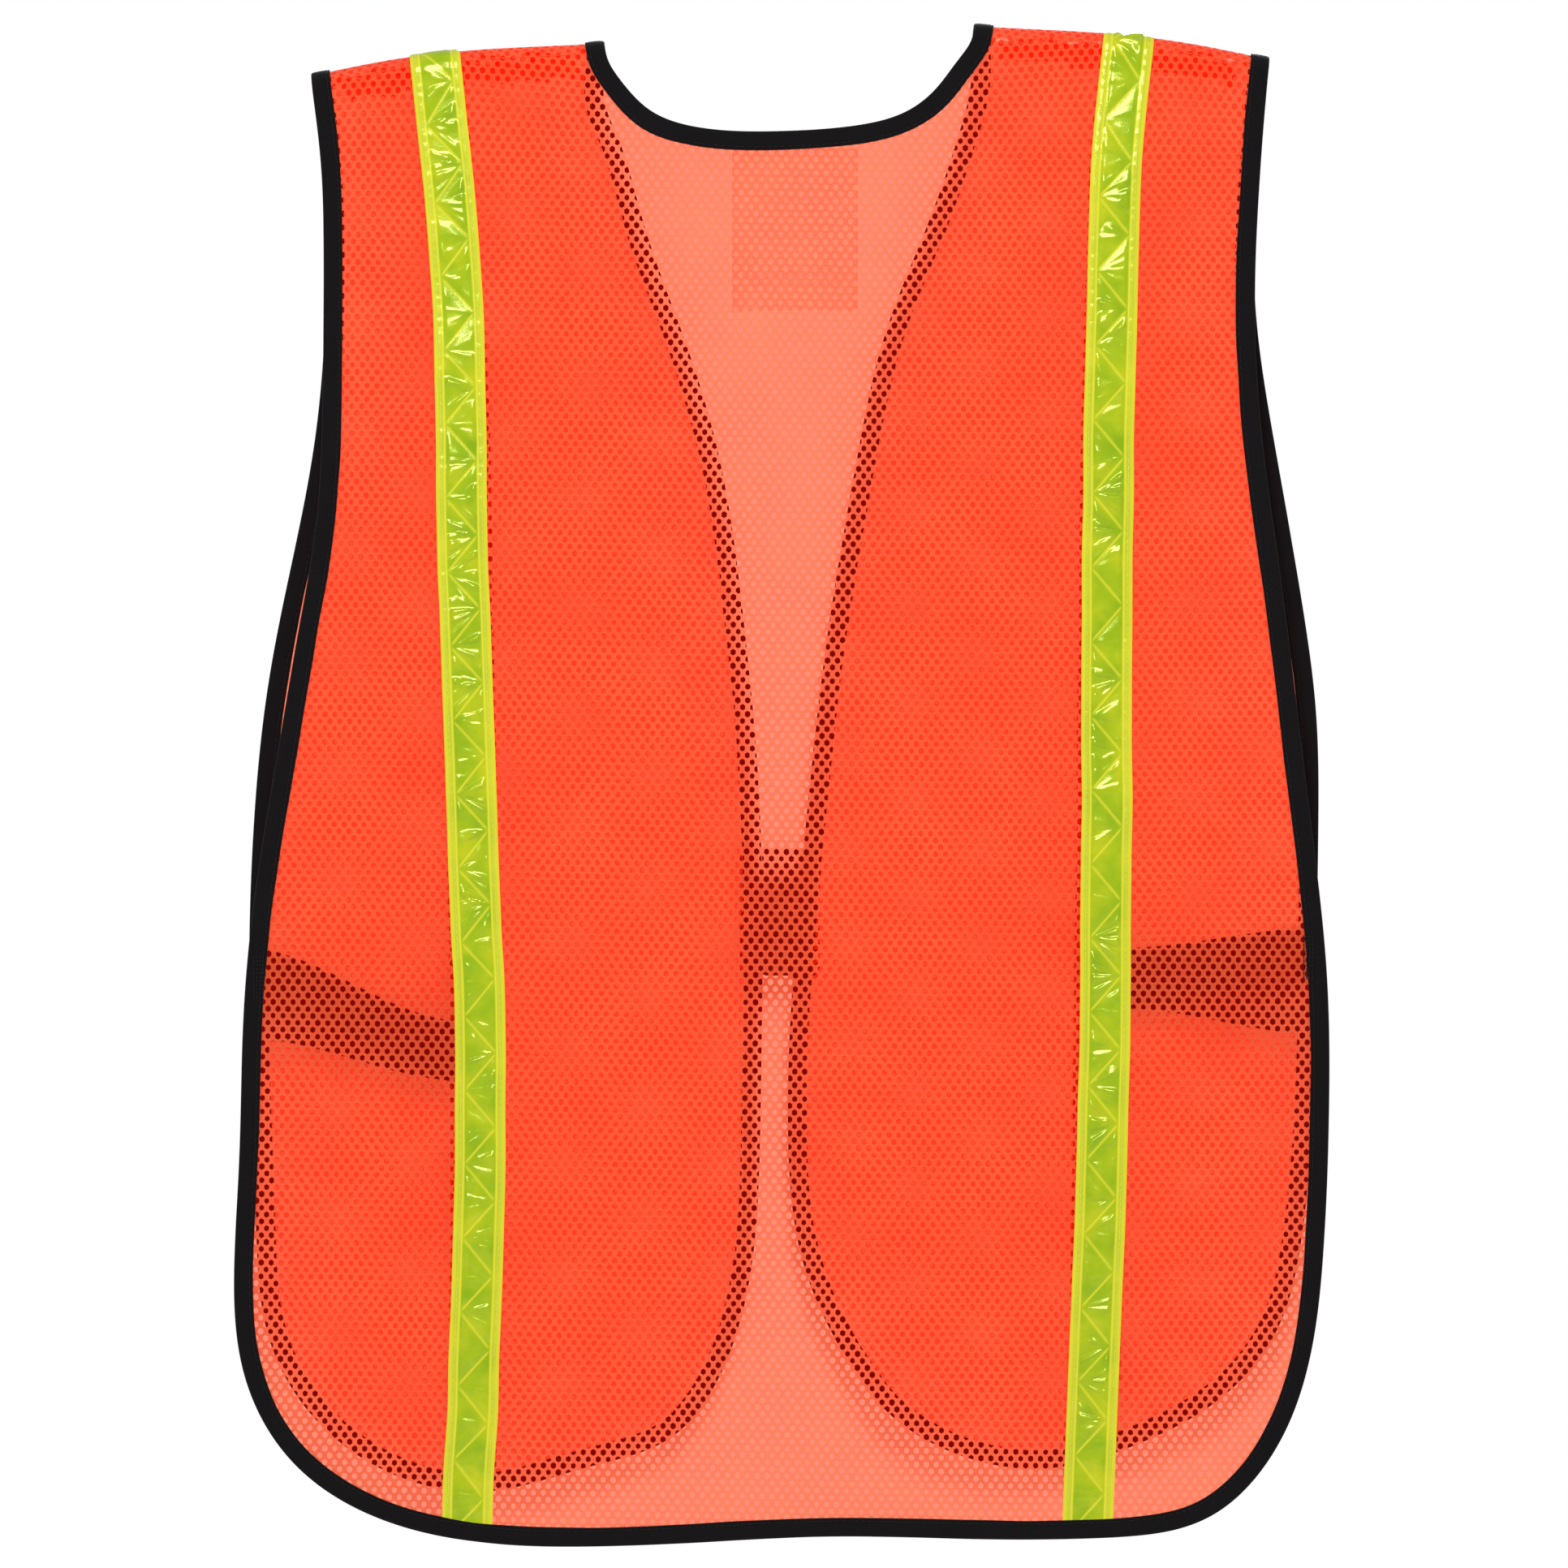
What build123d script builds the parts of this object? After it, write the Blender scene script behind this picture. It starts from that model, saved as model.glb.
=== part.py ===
from build123d import *
import os

# High visibility vest of mesh fabric with two lengthwise reflective tapes, hanging closed.
# Frame, in millimetres: +Z up, the front faces -Y, the wearer's left is +X.
# Origin: centre of the neck opening at shoulder height, midway between the layers.

# ---- driving dimensions -------------------------------------------------------------
LAYER_Y = 9.0            # mid-plane of the back layer; the fronts lie at -LAYER_Y
MESH_T = 1.0             # mesh fabric
BINDING_W = 9.4          # finished width of the folded edge binding
BINDING_T = 2.4          # binding folded round the mesh edge
EDGE_SEAT = 1.2          # how far the mesh edge stays inside the binding's fold
TAPE_W = 25.0            # reflective tape
TAPE_T = 1.2
SHOULDER_DROP = 10.0     # from the top of the shoulder down to the fold's axis
TOWER_H = 30.0           # working height of an outline above the shoulder axis
SEAM_H = 7.0             # seam allowance under the shoulder
SEAM_T = 0.8
STRAP_W = 30.0           # elastic side strap
STRAP_T = 1.2
STRAP_Y = 6.9            # mid-plane of each strap leg
STRAP_END = 10.0         # length sewn under the binding
TACK_W = 5.0             # stitched block that holds a strap end
TACK_T = 0.5
TACK_MARGIN = 3.0        # from the strap's edges to the stitching
LABEL_SIZE = (62.0, 78.0)
LABEL_AT = (-4.0, -102.5)
LABEL_T = 0.6
CLOSURE_Z = (-470.0, -407.0)
TAB_TIP_X = -16.0        # free end of the hook tab
TAB_ROOT_X = 13.0        # where the tab leaves the left front's edge
TAB_BASE_X = 23.6        # end of its sewn part
PATCH_INNER_X = -3.0     # inner edge of the loop patch
TAB_T = 1.2
PATCH_T = 1.0
TAB_GAP = 0.3            # between the closed tab and the patch, and at the tab's root
FOLD_GAP = 0.4           # between a front's fixed and folding parts, across the fold line
NECK_HALF_W = 110.0      # the neck binding stays this near the middle
REACH = 900.0            # larger than the vest: size of a cutting zone
DEPTH = 200.0            # thicker than the vest: front to back of a cutting zone
SAMPLES_PER_POINT = 3    # of a smooth edge, where it is moved inwards

# ---- outlines, as (x, z) of the finished edges ----------------------------------------
# Shoulder tops: neck end, then arm end.
SHOULDER_TOP = {
    "left": ((90.0, -9.0), (235.0, -25.0)),
    "right": ((-92.0, -0.5), (-238.0, -17.0)),
}
# Back: from the left arm end down the side, along the hem and up the right side.
BACK_EDGE = [
    (230, -68), (228.5, -110), (229, -185), (232, -245), (241, -300), (252, -365),
    (262.5, -430), (268, -490), (270, -560), (272.5, -615), (267, -668), (244, -709),
    (202, -737), (150, -749), (95, -751), (40, -749), (-20, -746), (-95, -747.5),
    (-160, -746.5), (-207, -737), (-237, -709), (-255, -669), (-264, -610),
    (-267, -540), (-266, -470), (-260, -410), (-250, -330), (-242, -265),
    (-234, -205), (-230.5, -130), (-233.5, -68),
]
# Back neck, from the left shoulder to the right one.
NECK_EDGE = [
    (80.5, -31), (68.5, -43), (45, -51.5), (5, -53.5), (-35, -50.5), (-60.5, -43),
    (-75, -31), (-84, -19),
]
# Fronts: from the neck down the centre edge, round the hem and up the side.
FRONT_EDGE = {
    "left": [
        (91.5, -32), (85.5, -51), (70.5, -99.5), (50.5, -156), (33.5, -214), (22, -290),
        (14.5, -370), (12.3, -430), (13.2, -540), (17.2, -611), (31, -663), (58, -699),
        (98.5, -713), (148, -725), (196.5, -716), (231, -692), (255.5, -652),
        (262.5, -596), (264.5, -540), (266, -480), (264, -410), (255, -329),
        (244.5, -269), (234, -209), (228.8, -150), (228.6, -105), (230, -68),
    ],
    "right": [
        (-91, -28), (-87, -46.5), (-69, -99.5), (-49, -150.5), (-34.5, -214),
        (-20.5, -297), (-9, -397), (-2, -483), (-0.5, -556), (-7.5, -611), (-26, -654),
        (-50, -686.5), (-92, -709.5), (-125, -714), (-172, -702), (-210.5, -682),
        (-241.5, -647), (-254.5, -599), (-259.5, -550), (-262, -480), (-262, -420),
        (-260, -345), (-253.5, -289), (-244.5, -229), (-236, -178), (-231, -130),
        (-233.5, -68),
    ],
}
# Fold line on which each front opens: at the neck, then below the side strap.
FOLD_LINE = {
    "left": ((90.0, -36.0), (268.0, -508.0)),
    "right": ((-89.0, -34.0), (-264.0, -506.0)),
}
# Level that parts the armhole binding from the hem binding on the back.
SIDE_SPLIT_Z = -506.0
# Centrelines of the tapes, top to bottom.
BACK_TAPE = {
    "left": [(175, 10), (169.5, -53), (163, -130), (160.5, -230), (154.5, -409),
             (151, -530), (153, -630), (159, -760)],
    "right": [(-166, 10), (-163, -50), (-159.5, -150), (-157.5, -350), (-156, -520),
              (-152.5, -635), (-147, -760)],
}
FRONT_TAPE = {
    "left": [(175, 10), (169.5, -53), (162, -150), (157, -330), (154, -520), (157, -740)],
    "right": [(-166, 10), (-163, -50), (-159, -150), (-156, -330), (-154, -520),
              (-150, -740)],
}
# Side straps: top of the back leg and of the front leg at the edge, top at the fold.
STRAP = {
    "left": {"edge_x": 262.0, "fold_x": 165.0, "back_z": -456.0, "front_z": -471.0,
             "fold_z": -492.0},
    "right": {"edge_x": -258.0, "fold_x": -170.0, "back_z": -446.0, "front_z": -469.0,
              "fold_z": -456.0},
}
SIGN = {"left": 1, "right": -1}
SIDES = ("left", "right")


# ---- helpers ---------------------------------------------------------------------------
def plate(face, y_mid, thickness):
    """Thin plate from a face drawn in (x, z), centred on y_mid."""
    plane = Plane.XZ.offset(-(y_mid + thickness / 2))
    return extrude(plane * face, amount=thickness, dir=(0, -1, 0))


def outer_skin(face, layer_sign, thickness):
    """Plate lying on the outer face of a mesh layer."""
    y_mid = layer_sign * (LAYER_Y + (MESH_T + thickness) / 2)
    return plate(face, y_mid, thickness)


def inset_points(run, distance):
    """Points of a run moved to its right, in step along its smooth curve."""
    curve = Spline(*run)
    steps = SAMPLES_PER_POINT * len(run)
    moved = []
    for i in range(steps + 1):
        at = curve @ (i / steps)
        along = curve % (i / steps)
        moved.append((at.X + along.Y * distance, at.Y - along.X * distance))
    return moved


def face_of(runs, inset=0.0):
    """Face inside smooth runs joined by straight lines, going round clockwise."""
    curves = []
    for run in runs:
        points = inset_points(run, inset) if inset else run
        curves.append(Spline(*points))
    edges = []
    for curve, following in zip(curves, curves[1:] + curves[:1]):
        edges += [curve, Line(curve @ 1, following @ 0)]
    return make_face(Curve() + edges)


def shifted(point, direction, distance):
    return (point[0] + direction[0] * distance, point[1] + direction[1] * distance)


def unit(start, end):
    dx = end[0] - start[0]
    dz = end[1] - start[1]
    length = (dx ** 2 + dz ** 2) ** 0.5
    return (dx / length, dz / length), length


def shoulder(side):
    """Axis of the shoulder fold: neck end, arm end, upward normal."""
    neck_top, tip_top = SHOULDER_TOP[side]
    along, _ = unit(neck_top, tip_top)
    up = (-along[1] * SIGN[side], along[0] * SIGN[side])
    return shifted(neck_top, up, -SHOULDER_DROP), shifted(tip_top, up, -SHOULDER_DROP), up


def zone(start, end, keep_sign, gap=0.0):
    """Large prism on one side of a line in (x, z): +1 keeps the side to its left."""
    along, _ = unit(start, end)
    normal = (-along[1] * keep_sign, along[0] * keep_sign)
    near = shifted(start, normal, gap)
    first = shifted(near, along, -REACH)
    last = shifted(near, along, REACH)
    corners = [first, last, shifted(last, normal, REACH), shifted(first, normal, REACH)]
    return plate(make_face(Polyline(*corners, close=True)), 0, DEPTH)


def under_shoulder(side):
    neck, tip, _ = shoulder(side)
    return zone(neck, tip, -SIGN[side])


def fold_ring(side, start, stop, r_in, r_out):
    """Half ring over the shoulder, from start to stop along its axis from the neck."""
    neck, tip, up = shoulder(side)
    along, _ = unit(neck, tip)
    first = shifted(neck, along, start)
    plane = Plane(origin=(first[0], 0, first[1]), x_dir=(0, 1, 0),
                  z_dir=(along[0], 0, along[1]))
    ring = Circle(r_out) - Circle(r_in)
    upper = Pos(0, SIGN[side] * r_out) * Rectangle(4 * r_out, 2 * r_out)
    return extrude(plane * (ring & upper), amount=stop - start)


def strip(centreline, width):
    left = [(x + width / 2, z) for x, z in centreline]
    right = [(x - width / 2, z) for x, z in centreline]
    return face_of([left, right[::-1]])


def x_on(centreline, z):
    """Where a tape's centreline crosses a height, between its two nearest points."""
    for (x0, z0), (x1, z1) in zip(centreline, centreline[1:]):
        if z1 <= z <= z0:
            return x0 + (x1 - x0) * (z0 - z) / (z0 - z1)


# ---- outlines and their bands ----------------------------------------------------------
def above(side):
    """Ends of an outline, above the shoulder's neck and arm ends, which are cut away."""
    neck, tip, up = shoulder(side)
    return shifted(neck, up, TOWER_H), neck, tip, shifted(tip, up, TOWER_H)


def back_runs():
    left_neck_top, left_neck, left_tip, left_tip_top = above("left")
    right_neck_top, right_neck, right_tip, right_tip_top = above("right")
    outside = [left_tip_top, left_tip, *BACK_EDGE, right_tip, right_tip_top]
    neck = [right_neck_top, right_neck, *NECK_EDGE[::-1], left_neck, left_neck_top]
    return [outside, neck]


def front_runs(side):
    neck_top, neck, tip, tip_top = above(side)
    run = [neck_top, neck, *FRONT_EDGE[side], tip, tip_top]
    return [run[::-SIGN[side]]]


def mesh_layer(runs, layer_sign):
    return plate(face_of(runs, EDGE_SEAT), layer_sign * LAYER_Y, MESH_T)


def binding_band(runs, layer_sign):
    band = face_of(runs) - face_of(runs, BINDING_W)
    return plate(band, layer_sign * LAYER_Y, BINDING_T) - mesh_layer(runs, layer_sign)


def binding_over(side, start, stop):
    """Binding where it crosses the shoulder, with the mesh held inside it."""
    r_in = LAYER_Y - BINDING_T / 2
    r_out = LAYER_Y + BINDING_T / 2
    ring = fold_ring(side, start, stop, r_in, r_out)
    return ring - mesh_over(side)


def mesh_over(side):
    _, length = unit(*SHOULDER_TOP[side])
    return fold_ring(side, EDGE_SEAT, length - EDGE_SEAT,
                     LAYER_Y - MESH_T / 2, LAYER_Y + MESH_T / 2)


# ---- sub-parts -------------------------------------------------------------------------
BACK = back_runs()
FRONT = {side: front_runs(side) for side in SIDES}
BELOW_BOTH = under_shoulder("left") & under_shoulder("right")
TALL_BLOCK = Box(REACH, DEPTH, 2 * REACH)
MIDDLE = Box(2 * NECK_HALF_W, DEPTH, 2 * REACH)
FLAP_ZONE = {side: zone(*FOLD_LINE[side], -SIGN[side], FOLD_GAP) for side in SIDES}
FIXED_ZONE = {side: zone(*FOLD_LINE[side], SIGN[side]) for side in SIDES}
parts = {}
tacks = []


def make_back():
    parts["back_panel"] = mesh_layer(BACK, 1) & BELOW_BOTH
    band = binding_band(BACK, 1) & BELOW_BOTH
    below_split = zone((0, SIDE_SPLIT_Z), (1, SIDE_SPLIT_Z), -1)
    parts["back_hem_binding"] = band & below_split
    upper = band - below_split
    parts["neck_binding"] = upper & MIDDLE
    for side in SIDES:
        outer_half = Pos(SIGN[side] * (NECK_HALF_W + REACH / 2), 0, 0) * TALL_BLOCK
        parts[f"{side}_armhole_binding"] = upper & outer_half


def make_front(side):
    layer = mesh_layer(FRONT[side], -1) & under_shoulder(side)
    band = binding_band(FRONT[side], -1) & under_shoulder(side)
    _, length = unit(*SHOULDER_TOP[side])
    parts[f"{side}_shoulder_panel"] = (layer & FIXED_ZONE[side]) + mesh_over(side)
    parts[f"{side}_front_panel"] = layer & FLAP_ZONE[side]
    parts[f"{side}_front_binding"] = band & FLAP_ZONE[side]
    fixed_band = band & FIXED_ZONE[side]
    parts["neck_binding"] += (fixed_band & MIDDLE) + binding_over(side, 0, BINDING_W)
    parts[f"{side}_armhole_binding"] += (
        (fixed_band - MIDDLE) + binding_over(side, length - BINDING_W, length)
    )


def make_seam(side):
    """Seam allowance stitched down inside the back, just under the shoulder."""
    neck, tip, up = shoulder(side)
    along, length = unit(neck, tip)
    start = shifted(neck, along, BINDING_W)
    end = shifted(neck, along, length - BINDING_W)
    corners = [start, end, shifted(end, up, -SEAM_H), shifted(start, up, -SEAM_H)]
    face = make_face(Polyline(*corners, close=True)) & face_of(BACK, BINDING_W)
    parts[f"{side}_shoulder_seam"] = plate(face, LAYER_Y - (MESH_T + SEAM_T) / 2, SEAM_T)


def make_tapes(side):
    inside_back = face_of(BACK, BINDING_W)
    inside_front = face_of(FRONT[side], BINDING_W)
    back = outer_skin(strip(BACK_TAPE[side], TAPE_W) & inside_back, 1, TAPE_T)
    front = outer_skin(strip(FRONT_TAPE[side], TAPE_W) & inside_front, -1, TAPE_T)
    neck, tip, _ = shoulder(side)
    middle_z = (neck[1] + tip[1]) / 2
    centre_x = x_on(BACK_TAPE[side], middle_z)
    _, length = unit(neck, tip)
    r_in = LAYER_Y + MESH_T / 2
    over = fold_ring(side, 0, length, r_in, r_in + TAPE_T)
    over &= Pos(centre_x, 0, 0) * Box(TAPE_W, DEPTH, REACH)
    front = front & under_shoulder(side)
    parts[f"{side}_back_tape"] = (
        (back & under_shoulder(side)) + over + (front & FIXED_ZONE[side])
    )
    parts[f"{side}_front_tape"] = front & FLAP_ZONE[side]


def make_strap(side):
    """Elastic strap sewn to back and front, its spare length folded in between them."""
    spec = STRAP[side]
    edge_x = spec["edge_x"]
    fold_x = spec["fold_x"]
    inward = -SIGN[side]
    leg_outer = STRAP_Y + STRAP_T / 2
    binding_inner = LAYER_Y - BINDING_T / 2
    tack_y = {
        1: LAYER_Y + (BINDING_T + TACK_T) / 2,    # outside the back
        -1: -(STRAP_Y - (STRAP_T + TACK_T) / 2),  # inside the front, clear of its fold
    }
    pieces = []
    for layer_sign, top_z in ((1, spec["back_z"]), (-1, spec["front_z"])):
        corners = [
            (edge_x, top_z), (fold_x, spec["fold_z"]),
            (fold_x, spec["fold_z"] - STRAP_W), (edge_x, top_z - STRAP_W),
        ]
        leg = make_face(Polyline(*corners, close=True))
        pieces.append(plate(leg, layer_sign * STRAP_Y, STRAP_T))
        end_at = Pos(edge_x + inward * STRAP_END / 2, top_z - STRAP_W / 2)
        sewn_end = end_at * Rectangle(STRAP_END, STRAP_W - 2 * TACK_MARGIN)
        sewn_y = (leg_outer + binding_inner) / 2
        pieces.append(plate(sewn_end, layer_sign * sewn_y, binding_inner - leg_outer))
        tack = end_at * Rectangle(TACK_W, STRAP_W - 2 * TACK_MARGIN)
        tacks.append(plate(tack, tack_y[layer_sign], TACK_T))
    bend = Circle(leg_outer) - Circle(STRAP_Y - STRAP_T / 2)
    inner_half = Pos(inward * leg_outer, 0) * Rectangle(2 * leg_outer, 4 * leg_outer)
    bend_at = Pos(fold_x, 0, spec["fold_z"] - STRAP_W)
    pieces.append(extrude(bend_at * (bend & inner_half), amount=STRAP_W))
    parts[f"{side}_side_strap"] = sum(pieces[1:], pieces[0])


def make_label():
    middle = Pos(*LABEL_AT)
    y_mid = LAYER_Y - (MESH_T + LABEL_T) / 2
    parts["care_label"] = plate(middle * Rectangle(*LABEL_SIZE), y_mid, LABEL_T)


def make_closure():
    """Hook tab on the left front that crosses the gap to a loop patch on the right."""
    low, high = CLOSURE_Z
    centre_z = (low + high) / 2
    height = high - low
    binding_face = -(LAYER_Y + BINDING_T / 2)
    patch_face = binding_face - PATCH_T
    tab_in = patch_face - TAB_GAP
    tab_out = tab_in - TAB_T

    def block(x_from, x_to, y_from, y_to):
        at = Pos((x_from + x_to) / 2, (y_from + y_to) / 2, centre_z)
        return at * Box(abs(x_to - x_from), abs(y_to - y_from), height)

    parts["closure_patch"] = block(TAB_TIP_X, PATCH_INNER_X, binding_face, patch_face)
    parts["closure_tab_base"] = block(TAB_ROOT_X, TAB_BASE_X, binding_face, tab_out)
    parts["closure_tab"] = block(TAB_TIP_X, TAB_ROOT_X - TAB_GAP, tab_in, tab_out)


make_back()
for side in SIDES:
    make_front(side)
    make_seam(side)
    make_tapes(side)
    make_strap(side)
parts["strap_tacks"] = Compound(children=[tack.solid() for tack in tacks])
make_label()
make_closure()

os.makedirs("parts", exist_ok=True)
for name, shape in parts.items():
    export_step(shape, f"parts/{name}.step")
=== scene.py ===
import math

import bpy
import numpy as np
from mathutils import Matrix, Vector


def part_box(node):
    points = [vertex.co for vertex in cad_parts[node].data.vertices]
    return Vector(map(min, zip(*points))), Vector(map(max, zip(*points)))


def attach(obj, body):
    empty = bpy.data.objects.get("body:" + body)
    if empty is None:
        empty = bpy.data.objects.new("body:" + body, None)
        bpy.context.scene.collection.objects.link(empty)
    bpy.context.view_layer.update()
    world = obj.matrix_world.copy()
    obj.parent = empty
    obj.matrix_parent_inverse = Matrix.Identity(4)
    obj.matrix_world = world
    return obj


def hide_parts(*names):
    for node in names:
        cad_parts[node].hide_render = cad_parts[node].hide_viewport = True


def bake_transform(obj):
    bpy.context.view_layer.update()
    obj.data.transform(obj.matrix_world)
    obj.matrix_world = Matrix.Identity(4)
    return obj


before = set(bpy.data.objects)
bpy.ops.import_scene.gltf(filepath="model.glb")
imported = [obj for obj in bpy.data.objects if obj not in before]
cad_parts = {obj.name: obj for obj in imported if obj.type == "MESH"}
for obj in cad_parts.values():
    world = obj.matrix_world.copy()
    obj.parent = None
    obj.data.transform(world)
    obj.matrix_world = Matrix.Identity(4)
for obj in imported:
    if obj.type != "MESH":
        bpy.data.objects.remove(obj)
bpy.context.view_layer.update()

# Looks of a high visibility vest, laid over its CAD frame. Metres, +Z up, the front
# faces -Y and the wearer's left is +X. "Flat" points are (x, z) in a layer's cut
# pattern: below a shoulder they are the layer's own x and z, and above it they run on
# over the shoulder fold.

ROOT = "back_and_shoulders"
SIDES = ("left", "right")
SIGN = {"left": 1.0, "right": -1.0}
MM = 0.001

# ---- sizes ----
HOLE_PITCH = 4.9 * MM       # along a row of holes in the mesh
ROW_PITCH = 3.38 * MM
HOLE_HALF_W = 1.25 * MM
HOLE_HALF_H = 1.62 * MM
HOLE_SIDE = 0.80 * MM       # half height of a hole's straight side
MESH_MARGIN = 3.4 * MM      # holes stay this far inside the finished edge
EDGE_SEAT = 1.2 * MM        # the CAD panel stops this far inside the finished edge
TAPE_W = 25.0 * MM
STITCH_PITCH = 3.3 * MM
STITCH_SHARE = 0.86         # of its pitch that a stitch covers
STITCH_INSET = 7.7 * MM     # of the binding's stitches, from the finished edge
BINDING_FACE = 0.86 * MM    # height of the binding under its stitches
EDGE_STEP = 2.2 * MM        # between points along a finished edge
BINDING_RING = 0.5          # share of the half ring over a shoulder with a binding
BACK_RING = 0.3             # and with the back's mesh
FRONT_RING = 1.1            # and with a front's mesh
SHOULDER_ARCH = 3.9 * MM
FLUTE_PITCH = 0.155         # from one soft upright fold to the next
CREASE_HALF_W = 0.012
EDGE_PASSES = 6             # of rounding off a finished edge's small corners
BACK_GRAIN_DEG = 0.4
FRONT_GRAIN_DEG = 5.5       # the fronts are cut a little off the grain
SIDE_BULGE = 2.1 * MM       # a front's binding shows beside the back's at the ribs
RIBS_Z = -0.325
RIBS_REACH = 0.075
SIDE_X = 0.2                # edges farther out than this are at the wearer's sides
CELL_PITCH = 36.5 * MM      # along the tape, from weld corner to weld corner
CELL_HALF_W = 7.8 * MM      # of the puffed middle of the tape, between its rails
WELD_COS = 0.76             # of the slant of the zigzag welds between cells
WELD_W = 0.42 * MM
RAILS = MM * np.array([(0.3, 0.38), (3.6, 0.34)])  # how far outside the cells, and width
TAPE_TOP_Z = -0.052         # above it a tape runs straight to the shoulder axis
TAPE_STEP = 0.62 * MM       # between points along a tape
TAPE_COLS = 35
TAPE_STITCHES = 9.9 * MM    # from the tape's middle to each row of its stitches
BARE_POINTS = 22            # of a tape, at the hem, that have no stitches
BLEND_BAND = 22.0 * MM      # cloth that bends where a front folds open
FLOOR_Z = -0.95
STRAP_W = 30.0 * MM
STRAP_ROWS = 60             # points along each leg of a strap
STRAP_COLS = 25
# Edge x, fold x, back top z, front top z and fold top z of each elastic side strap.
STRAP = {"left": MM * np.array([262, 165, -456, -471, -492]),
         "right": MM * np.array([-258, -170, -446, -469, -456])}
LABEL_W = 62.0 * MM
LABEL_H = 78.0 * MM
LABEL_ROWS = 133
LABEL_COLS = 105
# How far down the label each plain rule is, and half its width, as shares of the label's.
LABEL_RULES = ((0.15, 0.80), (0.24, 0.45), (0.31, 0.55), (0.38, 0.38), (0.46, 0.62),
               (0.53, 0.50), (0.60, 0.30), (0.78, 0.86), (0.84, 0.70))
SEAM_PITCH = 2.6 * MM       # of the stitches at the shoulders and the closure


# ---- geometry read from the frame ----
def plane_loops(node, y, tol=2e-5):
    """Closed loops of flat points round a CAD node's faces that lie in one y plane."""
    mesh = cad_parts[node].data
    co = np.array([v.co for v in mesh.vertices]).reshape(-1, 3)
    count = {}
    for poly in mesh.polygons:
        corners = list(poly.vertices)
        if any(abs(co[i][1] - y) > tol for i in corners):
            continue
        keys = [(round(co[i][0], 6), round(co[i][2], 6)) for i in corners]
        for a, b in zip(keys, keys[1:] + keys[:1]):
            if a != b:
                edge = frozenset((a, b))
                count[edge] = count.get(edge, 0) + 1
    joined = {}
    for edge, times in count.items():
        if times == 1:
            a, b = tuple(edge)
            joined.setdefault(a, []).append(b)
            joined.setdefault(b, []).append(a)
    loops = []
    left = set(joined)
    while left:
        here = min(left)
        loop = []
        while here in left:
            left.discard(here)
            loop.append(here)
            following = [n for n in joined[here] if n in left]
            if following:
                here = following[0]
        loops.append(np.array(loop))
    return sorted(loops, key=lambda points: -len(points))


def layer_y(node):
    """Middle of a thin CAD node along Y, and half its thickness."""
    low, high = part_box(node)
    return (low.y + high.y) / 2, (high.y - low.y) / 2


def cut_at_longest(loop, cuts):
    """Opens a loop by taking out its longest straight edges."""
    step = np.linalg.norm(np.roll(loop, -1, axis=0) - loop, axis=1)
    taken = sorted(np.argsort(-step)[:cuts])
    runs = []
    for here, after in zip(taken, taken[1:] + [taken[0] + len(loop)]):
        index = np.arange(here + 1, after + 1) % len(loop)
        runs.append(loop[index])
    return runs


def run_length(line):
    """Distance along a line at each of its points."""
    step = np.linalg.norm(np.diff(line, axis=0), axis=1)
    return np.concatenate([[0], np.cumsum(step)])


def smooth_run(points, step):
    """A run resampled evenly along the smooth curve through its points."""
    keep = [0]
    for i in range(1, len(points)):
        if np.linalg.norm(points[i] - points[keep[-1]]) > 0.4 * MM:
            keep.append(i)
    p = points[keep]
    chord = np.linalg.norm(np.diff(p, axis=0), axis=1)
    at = run_length(p)
    slope = np.empty_like(p)
    inner = (chord[1:, None] * (p[1:-1] - p[:-2]) / chord[:-1, None]
             + chord[:-1, None] * (p[2:] - p[1:-1]) / chord[1:, None])
    slope[1:-1] = inner / (chord[1:] + chord[:-1])[:, None]
    slope[0] = (p[1] - p[0]) / chord[0]
    slope[-1] = (p[-1] - p[-2]) / chord[-1]
    want = np.linspace(0, at[-1], max(2, int(at[-1] / step)))
    k = np.clip(np.searchsorted(at, want, side="right") - 1, 0, len(chord) - 1)
    t = ((want - at[k]) / chord[k])[:, None]
    h = chord[k][:, None]
    return ((1 + 2 * t) * (1 - t) ** 2 * p[k] + t * (1 - t) ** 2 * h * slope[k]
            + t * t * (3 - 2 * t) * p[k + 1] + t * t * (t - 1) * h * slope[k + 1])


def pairs(x, z):
    """Flat points from arrays of their x and z."""
    return np.stack([np.ravel(x), np.ravel(z)], axis=1)


def run_normals(run):
    """Unit normals to the right of a run."""
    along = np.gradient(run, axis=0)
    along /= np.linalg.norm(along, axis=1)[:, None]
    return pairs(along[:, 1], -along[:, 0])


def inside(points, polygon):
    """Which points are inside a polygon."""
    x, z = points[:, 0], points[:, 1]
    found = np.zeros(len(points), bool)
    for (x0, z0), (x1, z1) in zip(polygon, np.roll(polygon, -1, axis=0)):
        if z0 == z1:
            continue
        crossing = (z0 > z) != (z1 > z)
        found ^= crossing & (x < (x1 - x0) * (z - z0) / (z1 - z0) + x0)
    return found


def edge_distance(points, polygon):
    """Distance from each point to the nearest side of a polygon."""
    best = np.full(len(points), 1e9)
    for a, b in zip(polygon, np.roll(polygon, -1, axis=0)):
        span = b - a
        t = np.clip(((points - a) @ span) / max(span @ span, 1e-12), 0, 1)
        away = points - a - t[:, None] * span
        best = np.minimum(best, (away ** 2).sum(axis=1))
    return np.sqrt(best)


BACK_Y, HALF_MESH = layer_y("back_panel")
FOLD_R = BACK_Y


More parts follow.
